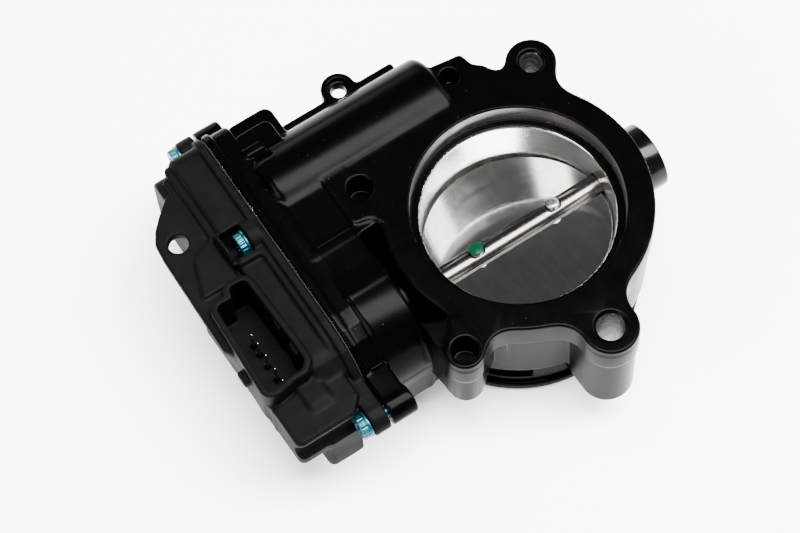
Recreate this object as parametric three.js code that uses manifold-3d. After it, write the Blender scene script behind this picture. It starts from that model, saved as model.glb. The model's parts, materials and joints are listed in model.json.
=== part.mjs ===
// Electronic throttle body for a 58 mm duct, built as an assembly of separate parts.
//
// All design sizes are millimetres in the "bore frame": the origin is the bore axis at the
// machined top flange face, +X runs along the throttle shaft from the gearbox to the stub
// bearing, +Y points at the drive motor and +Z points out of the flange. The last lines move
// the finished assembly so that it stands on z = 0, centred on the origin.
import * as THREE from 'three';
import { mergeVertices } from 'three/addons/utils/BufferGeometryUtils.js';
import Module from 'manifold-3d';

const wasm = await Module();
wasm.setup();

// ---------------------------------------------------------------------------------------
// Driving dimensions
// ---------------------------------------------------------------------------------------
const BORE_R = 29;                 // duct bore, 58 mm
const COUNTERBORE_R = 32;          // seal recess in the top flange
const COUNTERBORE_DEPTH = 7;
const FLANGE_R = 40.2;
const FLANGE_THICK = 10.7;
const BODY_HEIGHT = 51.5;          // flange face to spigot end
const SPIGOT_R = 36.8;
const SHAFT_R = 3.75;
const SHAFT_Z = -20.5;             // height of the throttle shaft
const MOTOR_Y = 47.2;              // the motor lies parallel to the shaft
const MOTOR_Z = -13.8;
const GEAR_MODULE = 0.7;
const TEETH = { sector: 44, idlerSmall: 30, idlerLarge: 42, pinion: 22 };
const REST_TILT = THREE.MathUtils.degToRad(-13);   // limp-home opening of the valve plate
const VALVE_CLOSES = THREE.MathUtils.degToRad(8);   // travel from rest to closed
const VALVE_OPENS = THREE.MathUtils.degToRad(-77);  // travel from rest to wide open

const MOTOR_BARREL_R = 16;
const MOTOR_BARREL_END_X = 4;
const MOTOR_CAN_R = 12.2;
const MOTOR_END_X = 0.8;
const SPRING_BARREL_R = 20.9;
const CASE_FLOOR_X = -57;          // outside of the gear case floor
const JOINT_X = -65.2;             // joint face between case and cover
const CASE_TOP_Z = -0.3;
const CASE_BOTTOM_Z = -39;
const CASE_END_Y = 72;
const WALL = 2.5;
const COVER_WALL = 1.8;
const COVER_STEP_X = -78;          // the cover is full height up to this depth
const COVER_BACK_X = -84.5;
const COVER_NOSE_X = -94;
const GAP = 0.3;                   // clearance between touching parts

const BORE_POSITION = new THREE.Vector3(23.8, -12.05, BODY_HEIGHT);

// Bolt holes of the top flange: centre, lug radius, hole radius, boss length
const LUGS = {
  upper: { x: 30, y: 37.2, r: 7.7, hole: 3.3, length: 37.3 },
  lower: { x: 0, y: -47.1, r: 8.5, hole: 4.1, length: 37.3 },
};
const SMALL_LUG = { x: -38.7, y: -30, r: 5.7, hole: 3.9, depth: 9, length: 26 };
const LEFT_BOSS = { x: -35.6, y: 30.2, r: 7.6, hole: 3.9, depth: 9, length: 26 };
const DIMPLE = { x: 6.7, y: 46.5, r: 2.9, depth: 5 };
const EAR = { x: -19.9, y: 68, r: 5.4, hole: 2.4, bottom: -17.5, top: -12 };

// The idler sits where its two gears reach the sector and the pinion at their pitch circles.
const SECTOR_TO_IDLER = GEAR_MODULE * (TEETH.sector + TEETH.idlerSmall) / 2;
const IDLER_TO_PINION = GEAR_MODULE * (TEETH.idlerLarge + TEETH.pinion) / 2;
const SHAFT_TO_MOTOR = Math.hypot(MOTOR_Y, MOTOR_Z - SHAFT_Z);
const MOTOR_DIRECTION = Math.atan2(MOTOR_Z - SHAFT_Z, MOTOR_Y);
const IDLER_OFFSET = Math.acos(
  (SECTOR_TO_IDLER ** 2 + SHAFT_TO_MOTOR ** 2 - IDLER_TO_PINION ** 2)
    / (2 * SECTOR_TO_IDLER * SHAFT_TO_MOTOR),
);
const IDLER_DIRECTION = MOTOR_DIRECTION - IDLER_OFFSET;
const IDLER_Y = SECTOR_TO_IDLER * Math.cos(IDLER_DIRECTION);
const IDLER_Z = SHAFT_Z + SECTOR_TO_IDLER * Math.sin(IDLER_DIRECTION);
const PINION_DIRECTION = Math.atan2(MOTOR_Z - IDLER_Z, MOTOR_Y - IDLER_Y);

// Cover screws along the joint, as (y, z)
const INNER_SCREW = [36.1, -4.5];       // this one sits inside the case outline, in a deep pocket
const COVER_SCREWS = [INNER_SCREW, [-28.6, -13.3], [-6, -42.4], [37.9, -42.4], [75.2, -13.5], [70, -41.4]];
const SCREW_R = 2.1;
const EAR_R = 4.5;
const SCREW_SEAT_X = -71.7;
const PIN_Y = [11.6, 8.2, 3.8, -1.2, -5.5, -9.1];   // connector contacts across the socket
const PIN_X = -85.6;
const PIN_HALF = 0.32;
const PIN_LEG_Z = -19.4;                // top of the leg, which runs inwards under the socket's floor
const PIN_LEG_END_X = -80.4;

// ---------------------------------------------------------------------------------------
// Materials
// ---------------------------------------------------------------------------------------
const finish = (color, roughness, metalness) => (
  new THREE.MeshStandardMaterial({ color, roughness, metalness })
);
const BLACK_CASTING = finish(0x1b1b1c, 0.38, 0.4);
const COVER_PLASTIC = finish(0x55565a, 0.55, 0);
const SEAL_RUBBER = finish(0x1e1e1e, 0.8, 0);
const TEAL_ZINC = finish(0x2f8f98, 0.3, 1);
const POLISHED = finish(0xd6d6d8, 0.18, 1);
const STEEL = finish(0x9a9ca0, 0.35, 1);
const BRASS = finish(0xc9a656, 0.3, 1);
const GEAR_NYLON = finish(0xd9d3bf, 0.5, 0);
const BLACK_PLASTIC = finish(0x26272a, 0.5, 0);
const BOARD_GREEN = finish(0x1d5a3c, 0.5, 0);

// ---------------------------------------------------------------------------------------
// Solid helpers
// ---------------------------------------------------------------------------------------
// A closed three.js geometry as a manifold solid, with its shared vertices merged.
function solid(geometry) {
  const bare = geometry.index ? geometry.toNonIndexed() : geometry.clone();
  bare.deleteAttribute('normal');
  bare.deleteAttribute('uv');
  const merged = mergeVertices(bare, 1e-4);
  return new wasm.Manifold(new wasm.Mesh({
    numProp: 3,
    vertProperties: Float32Array.from(merged.attributes.position.array),
    triVerts: Uint32Array.from(merged.index.array),
  }));
}

// A manifold solid as a three.js geometry.
function geometryOf(shape) {
  const mesh = shape.getMesh();
  const geometry = new THREE.BufferGeometry();
  geometry.setAttribute('position', new THREE.BufferAttribute(Float32Array.from(mesh.vertProperties), 3));
  geometry.setIndex(new THREE.BufferAttribute(Uint32Array.from(mesh.triVerts), 1));
  geometry.computeVertexNormals();
  return geometry;
}

const join = (...shapes) => shapes.reduce((whole, shape) => whole.add(shape));
const cut = (body, ...tools) => tools.reduce((rest, tool) => rest.subtract(tool), body);

// Shape plane (u, v) to (Y, Z), extruded along X.
const ALONG_X = new THREE.Matrix4().makeBasis(
  new THREE.Vector3(0, 1, 0),
  new THREE.Vector3(0, 0, 1),
  new THREE.Vector3(1, 0, 0),
);

function extrude(shape, depth, curveSegments) {
  return new THREE.ExtrudeGeometry(shape, { depth, bevelEnabled: false, curveSegments });
}

function prismZ(shape, z0, z1, curveSegments = 8) {
  return solid(extrude(shape, z1 - z0, curveSegments).translate(0, 0, z0));
}

function prismX(shape, x0, x1, curveSegments = 8) {
  return solid(extrude(shape, x1 - x0, curveSegments).applyMatrix4(ALONG_X).translate(x0, 0, 0));
}

function box(x0, x1, y0, y1, z0, z1) {
  const geometry = new THREE.BoxGeometry(x1 - x0, y1 - y0, z1 - z0);
  return solid(geometry.translate((x0 + x1) / 2, (y0 + y1) / 2, (z0 + z1) / 2));
}

// Turned parts: profiles are [radius, position along the axis], closed on the axis.
function turn(profile, segments) {
  return new THREE.LatheGeometry(profile.map(([r, t]) => new THREE.Vector2(r, t)), segments);
}

function turnZ(profile, x = 0, y = 0, segments = 24) {
  return solid(turn(profile, segments).rotateX(Math.PI / 2).translate(x, y, 0));
}

function turnX(profile, y, z, segments = 24) {
  return solid(turn(profile, segments).rotateZ(-Math.PI / 2).translate(0, y, z));
}

function rodZ(x, y, r, z0, z1, segments = 24, rTop = r) {
  return turnZ([[0, z0], [r, z0], [rTop, z1], [0, z1]], x, y, segments);
}

function rodX(y, z, r, x0, x1, segments = 24) {
  return turnX([[0, x0], [r, x0], [r, x1], [0, x1]], y, z, segments);
}

// A closed ring section turned about an axis along X.
function ringX(y, z, inner, outer, x0, x1, segments = 24) {
  return turnX([[inner, x0], [outer, x0], [outer, x1], [inner, x1], [inner, x0]], y, z, segments);
}

function polygon(points) {
  return new THREE.Shape(points.map(([u, v]) => new THREE.Vector2(u, v)));
}

function roundedRect(u0, v0, u1, v1, r) {
  const shape = new THREE.Shape();
  shape.moveTo(u0 + r, v0);
  shape.lineTo(u1 - r, v0);
  shape.absarc(u1 - r, v0 + r, r, -Math.PI / 2, 0, false);
  shape.lineTo(u1, v1 - r);
  shape.absarc(u1 - r, v1 - r, r, 0, Math.PI / 2, false);
  shape.lineTo(u0 + r, v1);
  shape.absarc(u0 + r, v1 - r, r, Math.PI / 2, Math.PI, false);
  shape.lineTo(u0, v0 + r);
  shape.absarc(u0 + r, v0 + r, r, Math.PI, Math.PI * 1.5, false);
  return shape;
}

// ---------------------------------------------------------------------------------------
// Gear case outline in (y, z): round about the throttle shaft, square at the motor end
// ---------------------------------------------------------------------------------------
function caseOutline(grow) {
  const top = CASE_TOP_Z + grow;
  const bottom = CASE_BOTTOM_Z - grow;
  const end = CASE_END_Y + grow;
  const radius = top - SHAFT_Z;
  const corner = 5 + grow;
  const shape = new THREE.Shape();
  shape.moveTo(end - corner, top);
  shape.lineTo(0, top);
  shape.absarc(0, SHAFT_Z, radius, Math.PI / 2, Math.PI, false);
  shape.lineTo(-radius, bottom + corner);
  shape.absarc(-radius + corner, bottom + corner, corner, Math.PI, Math.PI * 1.5, false);
  shape.lineTo(end - corner, bottom);
  shape.absarc(end - corner, bottom + corner, corner, -Math.PI / 2, 0, false);
  shape.lineTo(end, top - corner);
  shape.absarc(end - corner, top - corner, corner, 0, Math.PI / 2, false);
  return shape;
}

// ---------------------------------------------------------------------------------------
// Housing casting
// ---------------------------------------------------------------------------------------
// A lug on the flange: a round pad joined to the ring by straight sides towards the bore.
function lug({ x, y, r }, z0, z1, taper = 0) {
  const reach = Math.hypot(x, y);
  const side = new THREE.Vector2(-y / reach, x / reach).multiplyScalar(r);
  const foot = new THREE.Vector2(x, y).multiplyScalar(34 / reach);
  const web = polygon([
    [foot.x + side.x, foot.y + side.y],
    [foot.x - side.x, foot.y - side.y],
    [x - side.x, y - side.y],
    [x + side.x, y + side.y],
  ]);
  return join(rodZ(x, y, r - taper, z0, z1, 24, r), prismZ(web, Math.max(z0, -FLANGE_THICK), z1));
}

function flange() {
  const upperLeft = polygon([
    [18.3, 41.9], [15.8, 44.5], [14.7, 47.4], [13.8, 50.5], [12.6, 51.5], [3.2, 52.7],
    [-0.6, 52.3], [-6.8, 39.7], [-41.3, 39.7], [-43.8, 35.5], [-43.8, 21], [-30, 21], [0, 0], [28, 28],
    [22, 36],
  ]);
  const fillet = polygon([[18, 30], [34, 24], [26, 44], [21.5, 41.3]]);
  return join(
    rodZ(0, 0, FLANGE_R, -FLANGE_THICK, 0, 72),
    prismZ(upperLeft, -FLANGE_THICK, 0),
    prismZ(fillet, -FLANGE_THICK, -0.01),
    lug(LUGS.upper, -LUGS.upper.length, 0, 0.6),
    lug(LUGS.lower, -LUGS.lower.length, 0, 0.6),
    lug(SMALL_LUG, -SMALL_LUG.length, 0, 0.5),
    rodZ(LEFT_BOSS.x, LEFT_BOSS.y, LEFT_BOSS.r, -LEFT_BOSS.length, -0.02),
  );
}

// The duct below the flange: a plain wall, then the hose spigot with two grooves and a bead.
function ductWall() {
  const bottom = -BODY_HEIGHT;
  return turnZ([
    [0, bottom], [SPIGOT_R + 0.6, bottom], [SPIGOT_R + 1.2, bottom + 1], [SPIGOT_R + 1.2, bottom + 3.4],
    [SPIGOT_R - 0.8, bottom + 4.4], [SPIGOT_R - 0.8, bottom + 5.6], [SPIGOT_R, bottom + 6.2],
    [SPIGOT_R, -33.3], [39.4, -32.3], [39.4, -5], [0, -5],
  ], 0, 0, 72);
}

function motorBarrel() {
  const end = MOTOR_BARREL_END_X;
  const corner = 2.6;
  const profile = [[0, CASE_FLOOR_X], [MOTOR_BARREL_R, CASE_FLOOR_X]];
  for (let step = 0; step <= 5; step += 1) {
    const angle = (step / 5) * (Math.PI / 2);
    profile.push([
      MOTOR_BARREL_R - corner + corner * Math.cos(angle),
      end - corner + corner * Math.sin(angle),
    ]);
  }
  profile.push([0, end]);
  return turnX(profile, MOTOR_Y, MOTOR_Z, 48);
}

function springBarrel() {
  const end = -43.8;
  return join(
    rodX(0, SHAFT_Z, SPRING_BARREL_R, CASE_FLOOR_X - 1, end, 48),
    box(CASE_FLOOR_X - 1, end, -SPRING_BARREL_R, SPRING_BARREL_R - 1, CASE_BOTTOM_Z, SHAFT_Z),
    box(CASE_FLOOR_X - 1, end, 0, 24, -16, -1.2),
    rodX(0, SHAFT_Z, 12.5, end - 1, -33, 32),
    box(end - 1, -33, -20.4, 20.4, SHAFT_Z - 16.5, SHAFT_Z + 3),
  );
}

function housing() {
  const shaftLine = { y: 0, z: SHAFT_Z };
  const outside = join(
    flange(),
    ductWall(),
    motorBarrel(),
    springBarrel(),
    prismX(caseOutline(0), JOINT_X, CASE_FLOOR_X),
    prismX(caseOutline(0.9), JOINT_X, JOINT_X + 2.4),
    box(CASE_FLOOR_X - 1, -40, 20.3, MOTOR_Y, -13, CASE_TOP_Z),
    box(CASE_FLOOR_X - 1, -45.5, MOTOR_Y, 66, -34, -1),
    box(CASE_FLOOR_X - 1, -43.5, MOTOR_Y, 71, -36, -6),
    box(CASE_FLOOR_X - 1, -2, MOTOR_Y, 66.8, MOTOR_Z - 1.6, MOTOR_Z + 1.6),
    box(EAR.x - EAR.r, EAR.x + EAR.r, 60, EAR.y, EAR.bottom, EAR.top),
    rodZ(EAR.x, EAR.y, EAR.r, EAR.bottom, EAR.top, 32),
    rodX(shaftLine.y, shaftLine.z, 10, 28, 41.4, 32),
    box(JOINT_X, JOINT_X + 8.4, -28.6, -15, -17.8, -8.8),
    ...COVER_SCREWS.map(([y, z]) => rodX(y, z, EAR_R, JOINT_X, JOINT_X + 8.4, 20)),
  );
  const ductTools = [
    rodZ(0, 0, BORE_R, -BODY_HEIGHT - 1, 1, 72),
    rodZ(0, 0, COUNTERBORE_R, -COUNTERBORE_DEPTH, 1, 72),
  ];
  const boltTools = [
    ...Object.values(LUGS).map(({ x, y, hole, length }) => rodZ(x, y, hole, -length - 1, 1, 28)),
    ...Object.values(LUGS).map(({ x, y, hole }) => rodZ(x, y, hole, -1, 0.4, 28, hole + 1.4)),
    ...[SMALL_LUG, LEFT_BOSS].map(({ x, y, hole, depth }) => rodZ(x, y, hole, -depth, 1, 28)),
    rodZ(DIMPLE.x, DIMPLE.y, 1.2, -DIMPLE.depth, 1, 20, DIMPLE.r + 0.6),
    rodZ(EAR.x, EAR.y, EAR.hole, EAR.bottom - 1, EAR.top + 1, 24),
    rodZ(EAR.x, EAR.y, EAR.hole + 1.1, EAR.top - 1.6, EAR.top + 1, 24),
    ...COVER_SCREWS.map(([y, z]) => rodX(y, z, SCREW_R - 0.3, JOINT_X - 1, JOINT_X + 6, 12)),
  ];
  const gearTools = [
    prismX(caseOutline(-WALL), JOINT_X - 1, CASE_FLOOR_X - 2.2),
    rodX(MOTOR_Y, MOTOR_Z, MOTOR_CAN_R + GAP, CASE_FLOOR_X - 3, MOTOR_END_X + GAP, 40),
    rodX(shaftLine.y, shaftLine.z, 17.6, CASE_FLOOR_X - 3, -47.5, 48),
    rodX(IDLER_Y, IDLER_Z, 1.8, CASE_FLOOR_X - 3, CASE_FLOOR_X + 5, 20),
  ];
  const shaftTools = [
    rodX(shaftLine.y, shaftLine.z, SHAFT_R + GAP, -60, 30, 32),
    rodX(shaftLine.y, shaftLine.z, 7.3, -48, -35.5, 32),
    rodX(shaftLine.y, shaftLine.z, SHAFT_R + GAP, 25, 34, 32),
    rodX(shaftLine.y, shaftLine.z, 7.3, 32.5, 42, 32),
  ];
  const spigotRecess = cut(
    rodZ(0, 0, 45, -43.4, -33.4, 64),
    rodZ(0, 0, 35.4, -50, -30, 64),
    box(-60, 60, -21, 60, -60, 0),
    box(-16.5, 60, -60, 60, -60, 0),
  );
  const innerBoss = cut(
    rodX(...INNER_SCREW, 3.2, JOINT_X, CASE_FLOOR_X - 1),
    rodX(...INNER_SCREW, SCREW_R - 0.3, JOINT_X - 1, JOINT_X + 6, 12),
  );
  return join(
    cut(outside, ...ductTools, ...boltTools, ...gearTools, ...shaftTools, spigotRecess),
    innerBoss,
  );
}

// ---------------------------------------------------------------------------------------
// Gearbox cover with its connector socket and loom bracket
// ---------------------------------------------------------------------------------------
const SOCKET = { x0: -92.4, x1: -78.4, y0: -10.4, y1: 24.4, rim: 0, floor: -17, wall: 2 };

function coverFlange(x0, x1) {
  const plate = prismX(caseOutline(0.9), x0, x1);
  const web = box(x0, x1, -28.6, -15, -17.8, -8.8);
  return join(plate, web, ...COVER_SCREWS.map(([y, z]) => rodX(y, z, EAR_R, x0, x1, 20)));
}

function cover() {
  const { x0, x1, y0, y1, rim, floor, wall } = SOCKET;
  const face = JOINT_X - GAP * 2 - 0.3;
  const flangeBack = face - 2.6;
  const earBack = SCREW_SEAT_X + GAP;
  const bracket = polygon([
    [-80, 62], [-84.2, 61.5], [-89, 57.5], [-92.3, 54.3], [-94.4, 50.6], [-94.9, 47.2],
    [-95.3, 28.7], [-95.6, 9.5], [-94, 7.5], [-80, 7.5],
  ]);
  const bracketTop = -4;
  const [screwY, screwZ] = INNER_SCREW;
  const pocket = join(
    rodX(screwY, screwZ, 4.9, earBack - 7, earBack, 24),
    box(earBack - 7, earBack, screwY - 4.9, screwY + 4.9, screwZ, 1),
  );
  const socketInside = join(
    prismZ(roundedRect(x0, y0, x1, 21.4, 2.5), floor, rim + 1, 6),
    prismZ(roundedRect(-85.2, 15, x1, y1, 2.5), floor, rim + 1, 6),
  );
  const outside = join(
    coverFlange(flangeBack, face),
    ...COVER_SCREWS.slice(1).map(([y, z]) => rodX(y, z, EAR_R, earBack, face - 1, 20)),
    box(earBack, face - 1, -28.6, -15, -17.8, -8.8),
    prismX(caseOutline(-0.6), COVER_STEP_X, face - 1),
    prismX(roundedRect(-21.5, -35, 70.5, -5.5, 5), COVER_BACK_X, COVER_STEP_X + 1, 8),
    box(COVER_NOSE_X, COVER_BACK_X + 1, -25.5, y1 + wall, -22, -6.5),
    box(COVER_BACK_X, face - 2, -25.5, -10, -36, -6.5),
    prismZ(bracket, bracketTop - 3, bracketTop),
    prismZ(roundedRect(x0 - wall, y0 - wall, x1 + wall, y1 + wall, 3.5), floor - 2, rim, 6),
  );
  const tools = [
    prismX(caseOutline(-COVER_WALL - 0.5), COVER_STEP_X + COVER_WALL, face + 1),
    box(COVER_STEP_X - 1.5, COVER_STEP_X + 2.5, -17, 19, -33, -20),
    rodX(MOTOR_Y, MOTOR_Z, 7, COVER_BACK_X + 2, COVER_STEP_X + 2.5, 24),
    socketInside,
    rodZ(-88.8, 46.7, 3, -9, 0, 24),
    ...COVER_SCREWS.map(([y, z]) => rodX(y, z, SCREW_R + GAP, earBack - 1, face + 1, 12)),
    ...COVER_SCREWS.slice(1).map(([y, z]) => rodX(y, z, EAR_R + 0.6, face - 30, earBack, 20)),
    pocket,
  ];
  // The walls of the pocket that the inner screw sits in, hanging into the cover's cavity.
  const pocketWalls = cut(
    join(
      rodX(screwY, screwZ, 5.9, earBack - 8, face - 1, 24),
      box(earBack - 8, face - 1, screwY - 5.9, screwY + 5.9, screwZ, -1.5),
    ),
    rodX(screwY, screwZ, SCREW_R + GAP, earBack - 1, face + 1, 12),
    pocket,
  );
  const legBottom = PIN_LEG_Z - 2 * PIN_HALF - GAP;
  const pinSlots = PIN_Y.flatMap((y) => [
    box(PIN_X - 0.62, PIN_X + 0.62, y - 0.72, y + 0.72, legBottom, floor + 1),
    box(PIN_X - 0.62, PIN_LEG_END_X + GAP, y - 0.62, y + 0.62, legBottom, PIN_LEG_Z + GAP),
  ]);
  return cut(join(cut(outside, ...tools), pocketWalls), ...pinSlots);
}

function gasket() {
  const face = JOINT_X - GAP;
  return cut(prismX(caseOutline(-0.4), face - 0.3, face), prismX(caseOutline(-2), face - 1, face + 1));
}

// ---------------------------------------------------------------------------------------
// Screws and contacts
// ---------------------------------------------------------------------------------------
// A pan-head screw along X whose head sits against x = seat and points to -X.
function screwX(y, z, seat, length, r, headR, headHeight) {
  const body = turnX([
    [0, seat - headHeight], [headR * 0.8, seat - headHeight], [headR, seat - headHeight * 0.55],
    [headR, seat], [r, seat], [r, seat + length - 0.8], [r * 0.6, seat + length], [0, seat + length],
  ], y, z, 20);
  const star = [];
  for (let step = 0; step < 12; step += 1) {
    const radius = step % 2 ? headR * 0.3 : headR * 0.46;
    const angle = (step / 12) * Math.PI * 2;
    star.push([y + radius * Math.cos(angle), z + radius * Math.sin(angle)]);
  }
  return cut(body, prismX(polygon(star), seat - headHeight - 1, seat - headHeight * 0.4));
}

// An L-shaped contact: a blade standing in the socket and a leg running back to the board.
function connectorPin(y) {
  const half = PIN_HALF;
  const tip = -8;
  const bottom = PIN_LEG_Z - 2 * half;
  return join(
    box(PIN_X - half, PIN_X + half, y - half - 0.1, y + half + 0.1, bottom, tip),
    box(PIN_X - half, PIN_LEG_END_X, y - half, y + half, bottom, PIN_LEG_Z),
  );
}

// ---------------------------------------------------------------------------------------
// Throttle shaft, valve plate and bearings
// ---------------------------------------------------------------------------------------
// The plate sits in a slot milled through the shaft; both are tilted to the rest position.
const SLOT_HALF = 0.95;
const PLATE_HALF = 0.75;
const VALVE_SCREW_X = [-14.2, 13.2];

function tilt(shape) {
  const turnBack = new THREE.Matrix4().makeRotationX(REST_TILT);
  const place = new THREE.Matrix4().makeTranslation(0, 0, SHAFT_Z).multiply(turnBack);
  return shape.transform(place.elements);
}

function throttleShaft() {
  const profile = [
    [0, -75.4], [SHAFT_R - 1.2, -75.4], [SHAFT_R - 0.7, -75], [SHAFT_R - 0.7, -73.6], [SHAFT_R, -73.2],
    [SHAFT_R, 40.2], [SHAFT_R - 0.8, 41], [0, 41],
  ];
  const slot = box(-BORE_R + 0.2, BORE_R - 0.2, -10, 10, -SLOT_HALF, SLOT_HALF);
  const holes = VALVE_SCREW_X.map((x) => rodZ(x, 0, 1.5, -10, 10, 16));
  return tilt(cut(turnX(profile, 0, 0, 40), slot, ...holes));
}

function valvePlate() {
  const disc = rodZ(0, 0, 28.6, -PLATE_HALF, PLATE_HALF, 72);
  return tilt(cut(disc, ...VALVE_SCREW_X.map((x) => rodZ(x, 0, 1.5, -5, 5, 16))));
}

function valveScrew(x) {
  const top = SHAFT_R + 1.3;
  return tilt(turnZ([
    [0, -SHAFT_R + 0.4], [1.2, -SHAFT_R + 0.4], [1.2, SHAFT_R + 0.1], [1.9, SHAFT_R + 0.1],
    [1.9, top - 0.5], [1.3, top], [0, top],
  ], x, 0, 20));
}

// ---------------------------------------------------------------------------------------
// Gears. Profiles lie in (y, z); a tooth is centred on the angle "phase".
// ---------------------------------------------------------------------------------------
function gearShape(teeth, phase, centreY, centreZ, firstTooth = 0, count = teeth, hub = 0) {
  const pitch = (teeth * GEAR_MODULE) / 2;
  const step = (Math.PI * 2) / teeth;
  const levels = [
    [pitch - GEAR_MODULE * 1.1, 0.31], [pitch, 0.2], [pitch + GEAR_MODULE * 0.75, 0.1],
  ];
  const points = [];
  for (let tooth = firstTooth; tooth < firstTooth + count; tooth += 1) {
    const middle = phase + tooth * step;
    levels.forEach(([r, half]) => points.push([r, middle - half * step]));
    levels.slice().reverse().forEach(([r, half]) => points.push([r, middle + half * step]));
  }
  if (count < teeth) {
    const last = phase + (firstTooth + count - 0.5) * step;
    const first = phase + (firstTooth - 0.5) * step;
    const sweep = Math.PI * 2 - (last - first);
    for (let index = 0; index <= 10; index += 1) points.push([hub, last + (sweep * index) / 10]);
  }
  return polygon(points.map(([r, a]) => [centreY + r * Math.cos(a), centreZ + r * Math.sin(a)]));
}

// Teeth of the sector that reach the idler between the closed and the wide-open valve.
function sectorGear() {
  const step = (Math.PI * 2) / TEETH.sector;
  const first = Math.floor((-VALVE_CLOSES) / step) - 3;
  const count = Math.ceil((VALVE_CLOSES - VALVE_OPENS) / step) + 7;
  const outline = gearShape(TEETH.sector, IDLER_DIRECTION, 0, SHAFT_Z, first, count, 9);
  const toothed = prismX(outline, -71.5, -66.8);
  const hub = rodX(0, SHAFT_Z, 8.2, -73.2, -61, 24);
  return cut(join(toothed, hub), rodX(0, SHAFT_Z, SHAFT_R + GAP, -90, -50, 32));
}

function idlerGear() {
  const smallPhase = IDLER_DIRECTION + Math.PI + Math.PI / TEETH.idlerSmall;
  const small = prismX(gearShape(TEETH.idlerSmall, smallPhase, IDLER_Y, IDLER_Z), -72.5, -65.5);
  const large = prismX(gearShape(TEETH.idlerLarge, PINION_DIRECTION, IDLER_Y, IDLER_Z), -65.6, -61.4);
  const hub = rodX(IDLER_Y, IDLER_Z, 4.2, -73.4, -60.2, 24);
  return cut(join(small, large, hub), rodX(IDLER_Y, IDLER_Z, 1.5 + GAP, -80, -50, 20));
}

function motorPinion() {
  const phase = PINION_DIRECTION + Math.PI + Math.PI / TEETH.pinion;
  const teeth = prismX(gearShape(TEETH.pinion, phase, MOTOR_Y, MOTOR_Z), -66.4, -60.6);
  return join(teeth, rodX(MOTOR_Y, MOTOR_Z, 1.5, -68.5, -50.2, 20));
}

// ---------------------------------------------------------------------------------------
// Motor, return spring and sensor
// ---------------------------------------------------------------------------------------
function motorCan() {
  const front = -53.5;
  const end = MOTOR_END_X;
  const inside = MOTOR_CAN_R - 1.2;
  return turnX([
    [0, end - 2.8], [inside, end - 2.8], [inside, front], [MOTOR_CAN_R, front], [MOTOR_CAN_R, end - 3.4],
    [MOTOR_CAN_R - 2, end - 1.4], [4, end - 1.4], [4, end], [0, end],
  ], MOTOR_Y, MOTOR_Z, 40);
}

function motorEndPlate() {
  const plate = rodX(MOTOR_Y, MOTOR_Z, MOTOR_CAN_R, -56, -53.8, 40);
  const boss = rodX(MOTOR_Y, MOTOR_Z, 5, -58.4, -55.5, 24);
  return cut(join(plate, boss), rodX(MOTOR_Y, MOTOR_Z, 1.5 + GAP, -62, -50, 20));
}

function motorArmature() {
  const core = rodX(MOTOR_Y, MOTOR_Z, 9.5, -44, -8, 24);
  const commutator = rodX(MOTOR_Y, MOTOR_Z, 4.5, -49.9, -43, 20);
  return join(core, commutator);
}

class HelixCurve extends THREE.Curve {
  constructor(radius, turns, start, pitch) {
    super();
    Object.assign(this, { radius, turns, start, pitch });
  }

  getPoint(t, target = new THREE.Vector3()) {
    const angle = t * this.turns * Math.PI * 2;
    const x = this.start + t * this.turns * this.pitch;
    return target.set(x, this.radius * Math.cos(angle), this.radius * Math.sin(angle));
  }
}

function returnSpring() {
  const turns = 4;
  const wire = new THREE.Shape();
  wire.absarc(0, 0, 0.8, 0, Math.PI * 2, false);
  const helix = new HelixCurve(13.5, turns, -57.6, 2.1);
  const path = { steps: turns * 16, extrudePath: helix, curveSegments: 4 };
  const geometry = new THREE.ExtrudeGeometry(wire, path);
  return solid(geometry.translate(0, 0, SHAFT_Z));
}

// ---------------------------------------------------------------------------------------
// Assembly
// ---------------------------------------------------------------------------------------
const throttleBody = new THREE.Group();

function add(name, shape, material) {
  const mesh = new THREE.Mesh(geometryOf(shape), material);
  mesh.name = name;
  throttleBody.add(mesh);
}

add('throttle_housing', housing(), BLACK_CASTING);
add('gearbox_cover', cover(), COVER_PLASTIC);
add('cover_gasket', gasket(), SEAL_RUBBER);
COVER_SCREWS.forEach(([y, z], index) => {
  add(`cover_screw_${index + 1}`, screwX(y, z, SCREW_SEAT_X, 11.5, 1.7, 4.2, 3.1), TEAL_ZINC);
});
PIN_Y.forEach((y, index) => add(`connector_pin_${index + 1}`, connectorPin(y), BRASS));

add('throttle_shaft', throttleShaft(), POLISHED);
add('valve_plate', valvePlate(), POLISHED);
VALVE_SCREW_X.forEach((x, index) => add(`valve_screw_${index + 1}`, valveScrew(x), POLISHED));
add('gear_side_bearing', ringX(0, SHAFT_Z, SHAFT_R + GAP, 7, -46.8, -39), STEEL);
add('gear_side_seal', ringX(0, SHAFT_Z, SHAFT_R + GAP, 7, -38.6, -36), SEAL_RUBBER);
add('stub_bearing', ringX(0, SHAFT_Z, SHAFT_R + GAP, 7, 33, 40), STEEL);
add('stub_end_cap', turnX([
  [0, 43.4], [9.2, 43.4], [9.2, 41.8], [10.5, 41.8], [10.5, 46.8], [9.3, 48], [0, 48],
], 0, SHAFT_Z, 48), BLACK_CASTING);

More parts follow.
